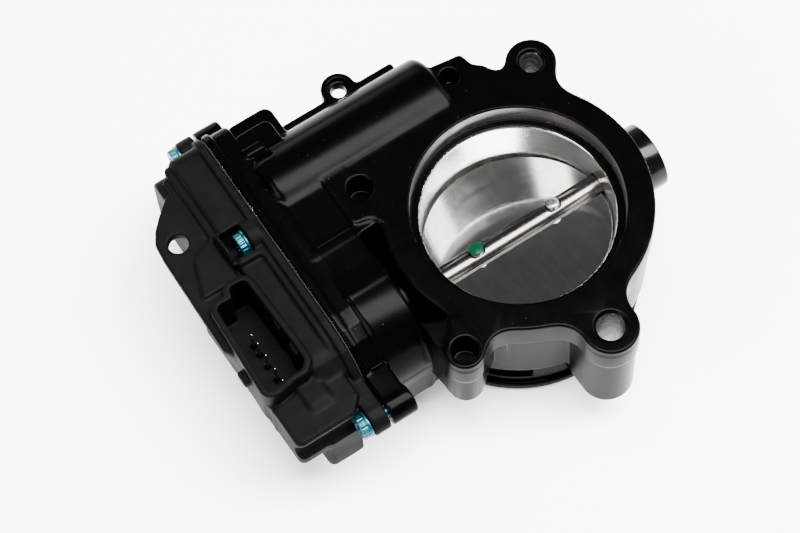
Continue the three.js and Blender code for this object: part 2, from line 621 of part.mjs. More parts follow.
add('sector_gear', sectorGear(), GEAR_NYLON);
add('sensor_magnet', ringX(0, SHAFT_Z, SHAFT_R + GAP, 6.4, -75.3, -73.6), STEEL);
add('idler_gear', idlerGear(), GEAR_NYLON);
add('idler_pin', rodX(IDLER_Y, IDLER_Z, 1.5, CASE_FLOOR_X - 1.8 - 15, CASE_FLOOR_X + 4.6, 20), STEEL);
add('motor_pinion', motorPinion(), BRASS);
add('motor_armature', motorArmature(), STEEL);
add('motor_can', motorCan(), STEEL);
add('motor_end_plate', motorEndPlate(), STEEL);
add('return_spring', returnSpring(), STEEL);
add('spring_sleeve', ringX(0, SHAFT_Z, SHAFT_R + GAP, 11.5, -58, -49), BLACK_PLASTIC);
add('sensor_board', box(-78.6, -77.2, -15, 17, -32, -21), BOARD_GREEN);

throttleBody.position.copy(BORE_POSITION);

export default throttleBody;
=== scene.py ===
"""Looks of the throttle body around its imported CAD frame.

Lengths in the shape code are millimetres in the bore frame: the origin is the bore axis at the
inlet flange face, X runs along the valve shaft, Y towards the motor and Z out of the flange.
"""
import json
import math

import bmesh
import bpy
import numpy as np
import openvdb
from mathutils import Matrix, Vector


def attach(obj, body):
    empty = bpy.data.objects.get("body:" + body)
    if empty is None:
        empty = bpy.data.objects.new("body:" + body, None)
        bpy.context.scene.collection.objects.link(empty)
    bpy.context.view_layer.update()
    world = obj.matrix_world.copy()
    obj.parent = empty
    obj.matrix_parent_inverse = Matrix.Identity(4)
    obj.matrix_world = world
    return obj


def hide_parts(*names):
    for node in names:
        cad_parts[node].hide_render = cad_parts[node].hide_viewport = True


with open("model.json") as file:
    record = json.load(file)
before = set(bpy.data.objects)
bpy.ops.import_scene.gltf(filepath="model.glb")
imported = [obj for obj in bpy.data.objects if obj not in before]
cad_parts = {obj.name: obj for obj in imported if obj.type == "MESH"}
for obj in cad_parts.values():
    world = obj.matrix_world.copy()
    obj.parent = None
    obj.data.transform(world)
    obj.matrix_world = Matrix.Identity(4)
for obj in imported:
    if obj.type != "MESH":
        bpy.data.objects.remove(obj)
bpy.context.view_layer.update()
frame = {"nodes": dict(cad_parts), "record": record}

VOXEL = 0.42          # mm, spacing of the distance fields
MOST_FACES = 185000                      # triangles kept in one piece
BORE = Vector((23.8, -12.05, 51.5))      # the bore frame's origin in the row frame, mm
SHAFT_Z = -20.5
MOTOR = (47.2, -13.8)                    # motor axis, (y, z)
BORE_R = 29.0
RECESS_R = 32.0                          # round recess for the duct seal
REST_TILT = math.radians(-13)
PLATE_SCREWS = (-14.2, 13.2)             # x of the two screws through shaft and plate
CREASE = math.radians(32)                # edges sharper than this stay hard on turned pieces


# ---------------------------------------------------------------------------------------
# Flat outlines: each is (low u, low v, high u, high v, distance function of u and v)
# ---------------------------------------------------------------------------------------
def disc(u, v, r):
    return (u - r, v - r, u + r, v + r, lambda a, b: np.hypot(a - u, b - v) - r)


def rect(u0, v0, u1, v1, r=0.0):
    cu, cv, hu, hv = (u0 + u1) / 2, (v0 + v1) / 2, (u1 - u0) / 2 - r, (v1 - v0) / 2 - r

    def distance(a, b):
        du, dv = np.abs(a - cu) - hu, np.abs(b - cv) - hv
        return np.minimum(np.maximum(du, dv), 0) + np.hypot(np.maximum(du, 0), np.maximum(dv, 0)) - r

    return (u0, v0, u1, v1, distance)


def bar(u0, v0, u1, v1, r):
    """A stadium: everything within r of a straight line."""
    du, dv = u1 - u0, v1 - v0
    span = du * du + dv * dv

    def distance(a, b):
        t = np.clip(((a - u0) * du + (b - v0) * dv) / span, 0, 1)
        return np.hypot(a - u0 - t * du, b - v0 - t * dv) - r

    return (min(u0, u1) - r, min(v0, v1) - r, max(u0, u1) + r, max(v0, v1) + r, distance)


def rounded(corners):
    """Corners (u, v, radius) as a dense outline with each corner turned on its radius."""
    points = []
    count = len(corners)
    for i, (u, v, r) in enumerate(corners):
        here = np.array([u, v], float)
        before = np.array(corners[i - 1][:2], float) - here
        after = np.array(corners[(i + 1) % count][:2], float) - here
        before, after = before / np.linalg.norm(before), after / np.linalg.norm(after)
        half = math.acos(max(-1.0, min(1.0, float(before @ after)))) / 2
        if r <= 0 or half > 1.55:
            points.append(here)
            continue
        reach = r / math.tan(half)
        start, end = here + before * reach, here + after * reach
        middle = before + after
        centre = here + middle / np.linalg.norm(middle) * (r / math.sin(half))
        a0, a1 = (math.atan2(*(p - centre)[::-1]) for p in (start, end))
        turn = (a1 - a0 + math.pi) % (2 * math.pi) - math.pi
        for step in range(7):
            angle = a0 + turn * step / 6
            points.append(centre + r * np.array([math.cos(angle), math.sin(angle)]))
    return np.array(points)


def polygon(corners, grow=0.0):
    """A closed outline of corners (u, v, radius), grown outwards by grow."""
    points = rounded(corners)
    low, high = points.min(0) - grow, points.max(0) + grow

    def distance(a, b):
        a, b = np.broadcast_arrays(a, b)
        best = np.full(a.shape, 1e9)
        inside = np.ones(a.shape)
        for (u0, v0), (u1, v1) in zip(points, np.roll(points, -1, axis=0)):
            du, dv = u1 - u0, v1 - v0
            wu, wv = a - u0, b - v0
            t = np.clip((wu * du + wv * dv) / (du * du + dv * dv + 1e-12), 0, 1)
            best = np.minimum(best, (wu - t * du) ** 2 + (wv - t * dv) ** 2)
            above, below = b >= v0, b < v1
            left = du * wv > dv * wu
            flip = (above & below & left) | (~above & ~below & ~left)
            inside = np.where(flip, -inside, inside)
        return inside * np.sqrt(best) - grow

    return (low[0], low[1], high[0], high[1], distance)


def merged(*flats, blend=0.0):
    """Several outlines as one, with their inner corners filleted."""
    box = np.array([f[:4] for f in flats])

    def distance(a, b):
        whole = flats[0][4](a, b)
        for f in flats[1:]:
            whole = soft_min(whole, f[4](a, b), blend)
        return whole

    return (*box[:, :2].min(0), *box[:, 2:].max(0), distance)


def without(flat, *holes):
    def distance(a, b):
        rest = flat[4](a, b)
        for hole in holes:
            rest = np.maximum(rest, -hole[4](a, b))
        return rest

    return (*flat[:4], distance)


def soft_min(a, b, blend):
    if blend <= 0:
        return np.minimum(a, b)
    near = np.maximum(blend - np.abs(a - b), 0) / blend
    return np.minimum(a, b) - near * near * blend * 0.25


# ---------------------------------------------------------------------------------------
# Solids: each is (low corner, high corner, distance function of x, y and z)
# ---------------------------------------------------------------------------------------
def rounded_prism(across, along, edge):
    a, b = across + edge, along + edge
    return np.minimum(np.maximum(a, b), 0) + np.hypot(np.maximum(a, 0), np.maximum(b, 0)) - edge


def up(flat, z0, z1, edge=0.0):
    """An outline in (x, y) raised from z0 to z1."""
    u0, v0, u1, v1, distance = flat
    return ((u0, v0, z0), (u1, v1, z1), lambda x, y, z: rounded_prism(
        distance(x, y), np.abs(z - (z0 + z1) / 2) - (z1 - z0) / 2, edge))


def along(flat, x0, x1, edge=0.0):
    """An outline in (y, z) drawn from x0 to x1."""
    u0, v0, u1, v1, distance = flat
    return ((x0, u0, v0), (x1, u1, v1), lambda x, y, z: rounded_prism(
        distance(y, z), np.abs(x - (x0 + x1) / 2) - (x1 - x0) / 2, edge))


def across(flat, y0, y1, edge=0.0):
    """An outline in (x, z) drawn from y0 to y1."""
    u0, v0, u1, v1, distance = flat
    return ((u0, y0, v0), (u1, y1, v1), lambda x, y, z: rounded_prism(
        distance(x, z), np.abs(y - (y0 + y1) / 2) - (y1 - y0) / 2, edge))


def cone(x, y, z0, r0, z1, r1):
    """A vertical cone frustum, used as a countersink."""
    slope = (r1 - r0) / (z1 - z0)
    scale = 1 / math.hypot(1, slope)
    high = max(r0, r1)
    return ((x - high, y - high, z0), (x + high, y + high, z1), lambda a, b, c: np.maximum(
        (np.hypot(a - x, b - y) - r0 - slope * (c - z0)) * scale, np.maximum(z0 - c, c - z1)))


class Field:
    """A signed distance sampled on a regular grid, built up by adding and cutting solids."""

    def __init__(self, low, high, voxel):
        self.voxel = voxel
        self.low = np.array(low, float) - 3 * voxel
        counts = np.ceil((np.array(high, float) - self.low) / voxel).astype(int) + 4
        self.axes = [self.low[i] + voxel * np.arange(counts[i]) for i in range(3)]
        self.values = np.full(counts, 6.0, np.float32)

    def _window(self, low, high, margin):
        window = []
        for i in range(3):
            first = int(np.searchsorted(self.axes[i], low[i] - margin))
            last = int(np.searchsorted(self.axes[i], high[i] + margin))
            window.append(slice(first, max(last, first + 1)))
        x, y, z = (self.axes[i][window[i]] for i in range(3))
        return tuple(window), x[:, None, None], y[None, :, None], z[None, None, :]

    def add(self, *solids, blend=0.0):
        for low, high, distance in solids:
            window, x, y, z = self._window(low, high, blend + 2.5)
            part = self.values[window]
            self.values[window] = soft_min(part, distance(x, y, z).astype(np.float32), blend)

    def cut(self, *solids, blend=0.0):
        for low, high, distance in solids:
            window, x, y, z = self._window(low, high, blend + 2.5)
            part = self.values[window]
            self.values[window] = -soft_min(-part, distance(x, y, z).astype(np.float32), blend)

    def sample(self, points):
        """Distance and its gradient at points, from the grid."""
        at = (points - self.low) / self.voxel
        cell = np.clip(at.astype(int), 1, np.array(self.values.shape) - 3)
        part = (at - cell).astype(np.float32)
        value = np.zeros(len(points))
        slope = np.zeros((len(points), 3))
        for corner in np.ndindex(2, 2, 2):
            i, j, k = (cell + corner).T
            weight = np.prod(np.where(corner, part, 1 - part), axis=1)
            value += weight * self.values[i, j, k]
            slope[:, 0] += weight * (self.values[i + 1, j, k] - self.values[i - 1, j, k])
            slope[:, 1] += weight * (self.values[i, j + 1, k] - self.values[i, j - 1, k])
            slope[:, 2] += weight * (self.values[i, j, k + 1] - self.values[i, j, k - 1])
        length = np.linalg.norm(slope, axis=1, keepdims=True)
        return value, slope / np.maximum(length, 1e-6)


def mesh_object(name, vertices, faces):
    """A mesh object from vertices in the bore frame, in millimetres."""
    mesh = bpy.data.meshes.new(name)
    placed = (np.asarray(vertices, float) + np.array(BORE)) * 0.001
    mesh.from_pydata(placed.tolist(), [], [list(map(int, f)) for f in faces])
    mesh.update()
    made = bpy.data.objects.new(name, mesh)
    bpy.context.scene.collection.objects.link(made)
    return made


def mesh_field(field, name, most=MOST_FACES, place=None):
    """The zero surface of a field as an object with normals taken from the field."""
    grid = openvdb.FloatGrid()
    grid.background = 6.0
    grid.copyFromArray(field.values)
    points, quads = grid.convertToQuads(isovalue=0.0)
    points = field.low + np.asarray(points, float) * field.voxel
    made = mesh_object(name, points, np.asarray(quads))
    faces = len(quads) * 2
    if faces > most:
        shrink = made.modifiers.new("fewer", "DECIMATE")
        shrink.ratio = most / faces
        shrink.use_collapse_triangulate = True
        keep_evaluated(made)
    mesh = made.data
    at = vertex_array(mesh) * 1000 - np.array(BORE)
    for _ in range(2):
        value, slope = field.sample(at)
        at -= slope * np.clip(value, -0.3, 0.3)[:, None]
    mesh.vertices.foreach_set("co", ((at + np.array(BORE)) * 0.001).astype(np.float32).ravel())
    _, slope = field.sample(at)
    if place is not None:
        turn = np.array(place.to_3x3())
        at, slope = at @ turn.T + np.array(place.translation), slope @ turn.T
        mesh.vertices.foreach_set("co", ((at + np.array(BORE)) * 0.001).astype(np.float32).ravel())
    mesh.update()
    mesh.shade_smooth()
    mesh.normals_split_custom_set_from_vertices(slope.tolist())
    return made


def vertex_array(mesh):
    flat = np.zeros(len(mesh.vertices) * 3, np.float32)
    mesh.vertices.foreach_get("co", flat)
    return flat.reshape(-1, 3).astype(float)


def keep_evaluated(made):
    """Replaces an object's mesh by the one its modifiers make."""
    graph = bpy.context.evaluated_depsgraph_get()
    final = bpy.data.meshes.new_from_object(made.evaluated_get(graph))
    made.modifiers.clear()
    made.data = final


# ---------------------------------------------------------------------------------------
# Housing casting
# ---------------------------------------------------------------------------------------
CASE_X = (-65.2, -57.0)
CASE_END_Y, CASE_BOTTOM_Z, CASE_TOP_Z = 72.0, -39.0, -0.3
CASE_CORNER_R = 5.0
UPPER_LUG, LOWER_LUG, SMALL_LUG, LEFT_BOSS = (30, 37.2), (0, -47.1), (-38.7, -30), (-35.6, 30.2)
EAR = (-19.9, 68.0)
SCREWS = [(36.1, -4.5), (-28.6, -13.3), (-6, -42.4), (37.9, -42.4), (75.2, -13.5), (70, -41.4)]
SEAT_X = -71.7


def case_outline(grow):
    """Gear case in (y, z): round about the shaft, square at the motor end."""
    top, bottom, end = CASE_TOP_Z + grow, CASE_BOTTOM_Z - grow, CASE_END_Y + grow
    r = top - SHAFT_Z
    corner = CASE_CORNER_R + grow
    return polygon([
        (end, top, corner),
        (-r, top, r - 0.01),
        (-r, bottom, corner),
        (end, bottom, corner),
    ])


def flange_outline():
    """The inlet flange seen from above: ring, lugs and the flat land beside the motor."""
    land = polygon([
        (17.6, 44.0, 3.0), (14.9, 46.6, 1.5), (13.8, 51.3, 1.6),
        (3.4, 52.7, 2.2), (-0.8, 52.4, 1.5), (-6.9, 39.4, 2.5),
        (-43.7, 39.4, 0.5), (-43.7, 21.3, 2.0), (-20, 20, 0), (0, 0, 0), (20, 30, 0),
    ])
    return merged(
        disc(0, 0, 40.2),
        bar(24, 30, *UPPER_LUG, 7.7),
        bar(0, -34, *LOWER_LUG, 8.5),
        bar(-28, -21.5, *SMALL_LUG, 5.7),
        land,
        blend=7.0,
    )


def build_housing():
    field = Field((-66, -56.5, -52), (42.5, 80.5, 3), VOXEL)
    field.add(up(flange_outline(), -10.7, 0, 0.5))
    # duct wall and spigot
    field.add(up(disc(0, 0, 39.3), -33.2, -8, 0.8))
    field.add(up(disc(0, 0, 36.8), -50.8, -30, 0.6), blend=1.5)
    field.add(up(disc(0, 0, 38.0), -50.9, -47.0, 0.9))
    field.cut(up(without(disc(0, 0, 41), disc(0, 0, 36.0)), -46.9, -45.8, 0.2))
    # lug columns, with the parting line of the die just under the flange
    columns = (
        (UPPER_LUG, 7.3, -37.3), (LOWER_LUG, 8.1, -37.3),
        (SMALL_LUG, 5.4, -26), (LEFT_BOSS, 7.4, -26),
    )
    for (x, y), r, bottom in columns:
        reach = math.hypot(x, y)
        field.add(up(bar(x * 36 / reach, y * 36 / reach, x, y, r), bottom, -3, 0.9), blend=1.2)
    # stub for the far shaft bearing
    field.add(along(disc(0, SHAFT_Z, 10.4), 26, 41.0, 0.5), blend=4.0)
    # motor barrel, its rib and ear
    field.add(along(disc(*MOTOR, 16.0), -58, 3.6, 2.6), blend=1.0)
    field.add(along(rect(MOTOR[0], MOTOR[1] - 1.6, 66.8, MOTOR[1] + 1.6, 0.9), -58, -1.6, 0.8), blend=2.5)
    field.add(up(bar(EAR[0], 62, *EAR, 5.4), -17.5, -12, 0.6), blend=1.6)
    # spring barrel, flat land over it, and its neck to the duct
    field.add(along(disc(0, SHAFT_Z, 20.9), -58, -44.0, 1.0))
    field.add(across(rect(-58, -17, -43.9, -0.1, 1.0), 2, 20.8, 0.8), blend=2.0)
    field.add(along(rect(-20.9, CASE_BOTTOM_Z + 1.2, 19.5, SHAFT_Z, 1.2), -58, -44.2, 0.8), blend=1.0)
    field.add(along(disc(0, SHAFT_Z, 12.5), -46, -33, 0.5), blend=2.0)
    field.add(across(rect(-46, -37, -34, -17.5, 0.8), -20.4, 20.4, 0.6), blend=1.5)
    field.add(up(rect(-60, 18, -36, 47, 0.5), -13, -0.5, 0.4), blend=1.2)
    # web that closes the pocket beside the ring, down to the small lug
    web = polygon([
        (-44.8, -15.4, 0.5), (-34.8, -20.1, 0.8), (-34, -32, 1), (-43.9, -29.5, 1), (-44.8, -22, 2),
    ])
    field.add(up(web, -26, -0.4, 0.5), blend=1.0)
    # gear case with its joint flange and screw ears
    field.add(along(case_outline(0), CASE_X[0] - 0.2, CASE_X[1], 1.0), blend=0.8)
    field.add(along(case_outline(0.9), CASE_X[0] - 0.2, CASE_X[0] + 2.2, 0.5), blend=0.6)
    for y, z in SCREWS[1:]:
        field.add(along(disc(y, z, 4.5), CASE_X[0] - 0.2, CASE_X[0] + 8.4, 0.7), blend=1.0)
    field.add(along(rect(-29.0, -17.8, -17, -8.8, 0.6), CASE_X[0] - 0.2, CASE_X[0] + 7.6, 0.6), blend=0.8)
    # stepped block at the motor end
    field.add(up(rect(-58, 44, -42.3, 71.6, 3.0), -34, -4.4, 1.2), blend=1.0)
    field.add(up(rect(-58, 44, -45.4, 66.0, 2.6), -14, -1.0, 0.9), blend=0.6)
    field.add(up(rect(-58, 50.4, -51.0, 53.2, 0.8), -6, 0.9, 0.7), blend=0.8)
    field.add(up(rect(-58, 57.2, -51.4, 60.4, 0.8), -6, 0.3, 0.7), blend=0.8)
    field.cut(up(rect(-56.2, 53.9, -51.0, 56.6, 0.6), -4.6, 4, 0.4))
    # recess between the two lower lugs
    recess = without(
        disc(0, 0, 45), disc(0, 0, 35.4), rect(-60, -21, 60, 60), rect(-16.5, -60, 60, 60))
    field.cut(up(recess, -43.4, -33.4, 0.3))
    # duct, seal recess and the holes of the lugs, land and ear
    field.cut(up(disc(0, 0, BORE_R), -55, 5))
    field.cut(up(disc(0, 0, RECESS_R), -7.0, 5, 0.2))
    field.cut(cone(0, 0, -7.6, 28.9, -6.9, 29.6))
    for (x, y), r in ((UPPER_LUG, 3.3), (LOWER_LUG, 4.1)):
        field.cut(up(disc(x, y, r), -45, 5), cone(x, y, -1.0, r, 1.0, r + 2.0))
    for x, y in (SMALL_LUG, LEFT_BOSS):
        field.cut(up(disc(x, y, 3.9), -9.0, 5, 0.3))
        field.cut(cone(x, y, -0.45, 3.9, 0.6, 4.9))
    field.cut(cone(6.7, 46.5, -5, 1.2, 0.4, 3.3))
    field.cut(up(disc(*EAR, 2.4), -25, 0), up(disc(*EAR, 3.5), -13.6, -8, 0.2))
    # inside: gear case, motor bore, spring chamber, shaft and bearing seats, screw holes
    field.cut(along(case_outline(-2.5), CASE_X[0] - 3, CASE_X[1] - 2.2, 0.4))
    field.cut(along(disc(*MOTOR, 12.5), -60, 1.1, 0.4))
    field.cut(along(disc(0, SHAFT_Z, 17.6), -60, -47.5, 0.4))
    field.cut(along(disc(0, SHAFT_Z, 4.05), -60, 34))
    field.cut(along(disc(0, SHAFT_Z, 7.3), -48, -35.5), along(disc(0, SHAFT_Z, 7.3), 32.5, 45))
    for y, z in SCREWS[1:]:
        field.cut(along(disc(y, z, 1.8), CASE_X[0] - 2, CASE_X[0] + 6))
    field.add(along(disc(*SCREWS[0], 3.2), CASE_X[0], CASE_X[1] - 1, 0.2))
    field.cut(along(disc(*SCREWS[0], 1.8), CASE_X[0] - 2, CASE_X[0] + 6))
    field.cut(along(disc(0, 0, 200), -80, CASE_X[0]))
    return mesh_field(field, "housing_casting")


# ---------------------------------------------------------------------------------------
# Plastic cover with its wiring socket and loom bracket
# ---------------------------------------------------------------------------------------
COVER_FACE = -66.1
PIN_Y = [11.6, 8.2, 3.8, -1.2, -5.5, -9.1]
PIN_X = -85.6
SOCKET_INSIDE = [
    (-79.2, 24.3, 1.6), (-78.2, 0, 0), (-78.2, -6.6, 2.0), (-80.4, -8.8, 1.0), (-83.7, -8.7, 0.5),
    (-92.3, -10.2, 1.8), (-91.0, 21.4, 1.8), (-85.3, 21.3, 0.8), (-84.8, 24.6, 1.6),
]


def build_cover():
    field = Field((-97.5, -47.5, -48), (-64.5, 81, 2.5), VOXEL * 0.95)
    face = COVER_FACE
    # stepped top over the gears and motor
    field.add(along(case_outline(-0.6), -78.0, face - 0.5, 1.3))
    valley = polygon([
        (-78.6, 29.0, 1.2), (-70.6, 29.0, 1.2), (-70.6, -21, 1), (-80, -21, 1), (-80, 29, 0),
    ])
    field.cut(up(valley, -2.5, 6, 0.8), blend=0.8)
    field.add(along(rect(-21.5, -35, 70.0, -5.5, 4.5), -84.5, -76.5, 1.2), blend=0.8)
    field.add(up(rect(-80.4, 41.5, -76.5, 69.6, 1.6), -12, -2.6, 0.8), blend=0.5)
    field.add(up(rect(-82.4, 43.5, -76.5, 67.2, 1.6), -12, -4.0, 0.8), blend=0.5)
    # joint flange and the screw towers
    field.add(along(case_outline(0.9), face - 2.5, face, 0.5), blend=0.6)
    for y, z in SCREWS[1:]:
        field.add(along(disc(y, z, 4.5), SEAT_X + 0.3, face, 0.5), blend=0.8)
    field.add(along(rect(-28.6, -17.8, -15, -8.8, 1.0), SEAT_X + 0.3, face, 0.5), blend=0.8)
    # box behind the socket, then the lower block
    socket_box = polygon([(-94.0, 26.0, 1.5), (-80, 28, 1), (-78, -14, 1), (-93.4, -14.0, 1.5)])
    low_block = polygon([
        (-93.4, -12, 0.5), (-93.2, -26.4, 2.2), (-74.3, -26.4, 1.2), (-70, -22, 1), (-70, -10, 0.5),
    ])
    low_block_foot = polygon([
        (-84.3, -12, 0.5), (-84.0, -26.9, 2.2), (-72.6, -26.9, 1.0), (-70, -10, 0.5),
    ])
    field.add(up(socket_box, -22, -7.2, 1.0), blend=0.6)
    field.add(up(low_block, -22, -6.5, 1.1), blend=0.8)
    field.add(up(low_block_foot, -35.6, -12, 1.1), blend=0.8)
    # socket tower
    field.add(up(polygon(SOCKET_INSIDE, 2.0), -19.0, 0.0, 0.7), blend=0.8)
    # loom bracket plate with a raised spine
    plate = polygon([
        (-79, 62.5, 1), (-84.0, 61.8, 1.5), (-88.9, 57.6, 4), (-92.4, 54.0, 3), (-94.6, 50.4, 3),
        (-95.2, 44, 4), (-95.4, 28.7, 2), (-95.7, 10.2, 1.6), (-94.0, 7.4, 1), (-80, 7.4, 0),
    ])
    field.add(up(plate, -7.0, -4.0, 0.6), blend=0.8)
    spine = polygon([
        (-88.0, 38.5, 1), (-84.8, 41, 1.5), (-80, 42.5, 0), (-80, 27, 0), (-92.0, 27, 0.5),
    ])
    field.add(up(spine, -8, -3.2, 0.5), blend=1.0)
    field.add(up(rect(-96.0, -2.2, -93.0, 2.6, 0.6), -7.6, -4.9, 0.4), blend=0.4)
    # cavities and holes
    field.cut(along(without(case_outline(-2.4), rect(-30, -3.7, 80, 5)), -76.2, face + 3, 0.3))
    field.cut(along(rect(-17, -33, 19, -20, 0.3), -79.5, -75.5))
    field.cut(along(disc(*MOTOR, 7.0), -82.5, -75.5))
    field.cut(up(polygon(SOCKET_INSIDE), -17.0, 5, 0.4))
    # plug guides on the socket's wall
    field.add(up(rect(-79.2, -3.5, -76.5, 0.8, 0.3), -16, -2.4, 0.2))
    field.add(up(rect(-79.2, 6.0, -76.5, 9.5, 0.3), -16, -1.8, 0.2))
    field.add(up(rect(-79.0, 13.6, -76.5, 16.6, 0.3), -16, -1.8, 0.2))
    field.cut(up(disc(-88.8, 46.7, 3.0), -9, 0), cone(-88.8, 46.7, -4.5, 2.9, -3.7, 3.7))
    for y, z in SCREWS[1:]:
        field.cut(along(disc(y, z, 5.1), -98, SEAT_X + 0.3, 0.2))
        field.cut(along(disc(y, z, 2.4), SEAT_X - 1, face + 1))
    # the deep pocket of the inner screw, with its own walls
    y, z = SCREWS[0]
    well = merged(disc(y, z, 5.9), rect(y - 5.9, z, y + 5.9, -1.6))
    hole = merged(disc(y, z, 4.9), rect(y - 4.9, z, y + 4.9, 4))
    field.add(along(well, SEAT_X - 7.7, face - 1, 0.2))
    field.cut(along(hole, SEAT_X - 6.7, SEAT_X + 0.3, 0.3))
    field.cut(along(disc(y, z, 2.4), SEAT_X - 1, face + 1))
    # slots for the contacts and their legs
    for y in PIN_Y:
        field.cut(up(rect(-86.3, y - 0.8, -84.9, y + 0.8), -20.4, -15))
        field.cut(up(rect(-86.3, y - 0.7, -80.1, y + 0.7), -20.4, -19.1))
    return mesh_field(field, "cover_moulding")


# ---------------------------------------------------------------------------------------
# Screws, contacts, shaft, plate and cap
# ---------------------------------------------------------------------------------------
def turned(name, profile, place, segments=96):
    """A profile of (radius, position) turned about Z, then moved by the matrix place (mm)."""
    vertices, faces = [], []
    count = len(profile)
    for r, t in profile:
        for step in range(segments):
            angle = 2 * math.pi * step / segments
            vertices.append(place @ Vector((r * math.cos(angle), r * math.sin(angle), t)))
    closed = profile[0][0] > 1e-6
    for ring in range(count if closed else count - 1):
        low, high = ring * segments, ((ring + 1) % count) * segments
        for step in range(segments):
            after = (step + 1) % segments
            faces.append([low + step, low + after, high + after, high + step])
    made = mesh_object(name, [tuple(v) for v in vertices], faces)
    clean(made)
    return made


def clean(made):
    """Merges doubles, points faces outwards and shades smooth except at sharp edges."""
    shape = bmesh.new()
    shape.from_mesh(made.data)
    bmesh.ops.remove_doubles(shape, verts=shape.verts, dist=2e-6)
    bmesh.ops.dissolve_degenerate(shape, edges=shape.edges, dist=1e-7)
    bmesh.ops.recalc_face_normals(shape, faces=shape.faces)
    for edge in shape.edges:
        edge.smooth = not (len(edge.link_faces) == 2 and edge.calc_face_angle(0) > CREASE)
    for face in shape.faces:
        face.smooth = True
    shape.to_mesh(made.data)
    shape.free()


SHAFT_AXIS = Matrix.Translation((0, 0, SHAFT_Z)) @ Matrix.Rotation(math.radians(90), 4, "Y")
TILT = Matrix.Translation((0, 0, SHAFT_Z)) @ Matrix.Rotation(REST_TILT, 4, "X")


def arc_profile(points, rounds):
    """A turned profile whose corners (r, t) are rounded by the radii in rounds."""
    out = []
    for i, ((r, t), e) in enumerate(zip(points, rounds)):
        if e <= 0 or i in (0, len(points) - 1):
            out.append((r, t))
            continue
        here = Vector((r, t))
        a = (Vector(points[i - 1]) - here).normalized()
        b = (Vector(points[i + 1]) - here).normalized()
        for step in range(6):
            s = step / 5
            out.append(tuple(here + a * e * (1 - s) ** 2 + b * e * s ** 2))
    return out


def build_cover_screw(name, y, z):
    """A flanged screw with a ribbed head and a six-lobed recess, pointing to -X."""
    field = Field((-75.2, y - 4.6, z - 4.6), (-59.8, y + 4.6, z + 4.6), 0.16)
    field.add(along(disc(y, z, 3.75), SEAT_X - 3.1, SEAT_X - 0.4, 0.5))
    for step in range(18):
        angle = 2 * math.pi * step / 18
        groove = disc(y + 4.05 * math.cos(angle), z + 4.05 * math.sin(angle), 0.5)
        field.cut(along(groove, SEAT_X - 4, SEAT_X - 0.9), blend=0.2)
    field.add(along(disc(y, z, 4.2), SEAT_X - 0.8, SEAT_X, 0.25), blend=0.2)
    field.add(along(disc(y, z, 1.7), SEAT_X - 0.5, SEAT_X + 11.5, 0.4))
    lobes = [
        disc(y + 1.25 * math.cos(a), z + 1.25 * math.sin(a), 0.42)
        for a in np.arange(6) * math.pi / 3
    ]
    star = merged(disc(y, z, 1.25), *lobes, blend=0.3)
    field.cut(along(star, SEAT_X - 5, SEAT_X - 1.3, 0.1))
    return mesh_field(field, name, 12000)


def build_pin(name, y):
    """A flat contact: a tapered blade standing in the socket, its leg under the floor."""
    field = Field((PIN_X - 0.4, y - 0.5, -20.2), (-80.3, y + 0.5, -7.9), 0.1)
    field.add(up(rect(PIN_X - 0.32, y - 0.42, PIN_X + 0.32, y + 0.42, 0.1), -20.04, -8.9, 0.1))
    field.add(up(rect(PIN_X - 0.32, y - 0.32, -80.4, y + 0.32, 0.1), -20.04, -19.4, 0.1))
    field.add(up(rect(PIN_X - 0.2, y - 0.26, PIN_X + 0.2, y + 0.26, 0.1), -9.2, -8.0, 0.12), blend=0.8)
    return mesh_field(field, name, 3000)


def build_shaft():
    """The throttle shaft, slotted for the plate, turned to the plate's rest angle."""
    field = Field((-75.6, -4, -4), (41.2, 4, 4), 0.22)
    field.add(along(disc(0, 0, 3.75), -73.2, 41.0, 0.5))
    field.add(along(disc(0, 0, 3.05), -75.4, -70, 0.4))
    field.cut(up(rect(-28.8, -9, 28.8, 9), -0.95, 0.95))
    for x in PLATE_SCREWS:
        field.cut(up(disc(x, 0, 1.5), -6, 6))
        field.cut(up(disc(x, 0, 2.5), 3.1, 6, 0.1))
    return mesh_field(field, "polished_shaft", 60000, TILT)


def build_plate():
    return turned("butterfly_plate", arc_profile(
        [(0, -0.75), (28.6, -0.75), (28.6, 0.75), (0, 0.75)], [0, 0.3, 0.3, 0]), TILT, 256)


def build_plate_screw(name, x):
    """A staked round-head screw through shaft and plate."""
    place = TILT @ Matrix.Translation((x, 0, 0))
    return turned(name, arc_profile(
        [(0, -3.4), (1.25, -3.4), (1.25, 3.2), (2.15, 3.2), (2.15, 4.6), (1.4, 5.0), (0, 5.05)],
        [0, 0.2, 0, 0.15, 0.5, 0.4, 0]), place, 64)


def build_paint_dot():
    """A blob of marking paint over the head of the first plate screw."""
    place = TILT @ Matrix.Translation((PLATE_SCREWS[0], 0, 0))
    dome = [(2.35 * math.cos(a), 4.55 + 0.85 * math.sin(a)) for a in np.linspace(-0.25, math.pi / 2, 9)]
    made = turned("paint_dot", [(0, 4.3), (2.1, 4.25)] + dome[:-1] + [(0, 5.4)], place, 48)
    flat = vertex_array(made.data)
    centre = flat.mean(0)
    around = flat - centre
    bearing = np.arctan2(around[:, 1], around[:, 0])
    wave = 1 + 0.07 * np.sin(3 * bearing + 0.6) + 0.04 * np.sin(5 * bearing)
    flat[:, :2] = centre[:2] + around[:, :2] * wave[:, None]
    made.data.vertices.foreach_set("co", flat.astype(np.float32).ravel())
    made.data.update()
    return made


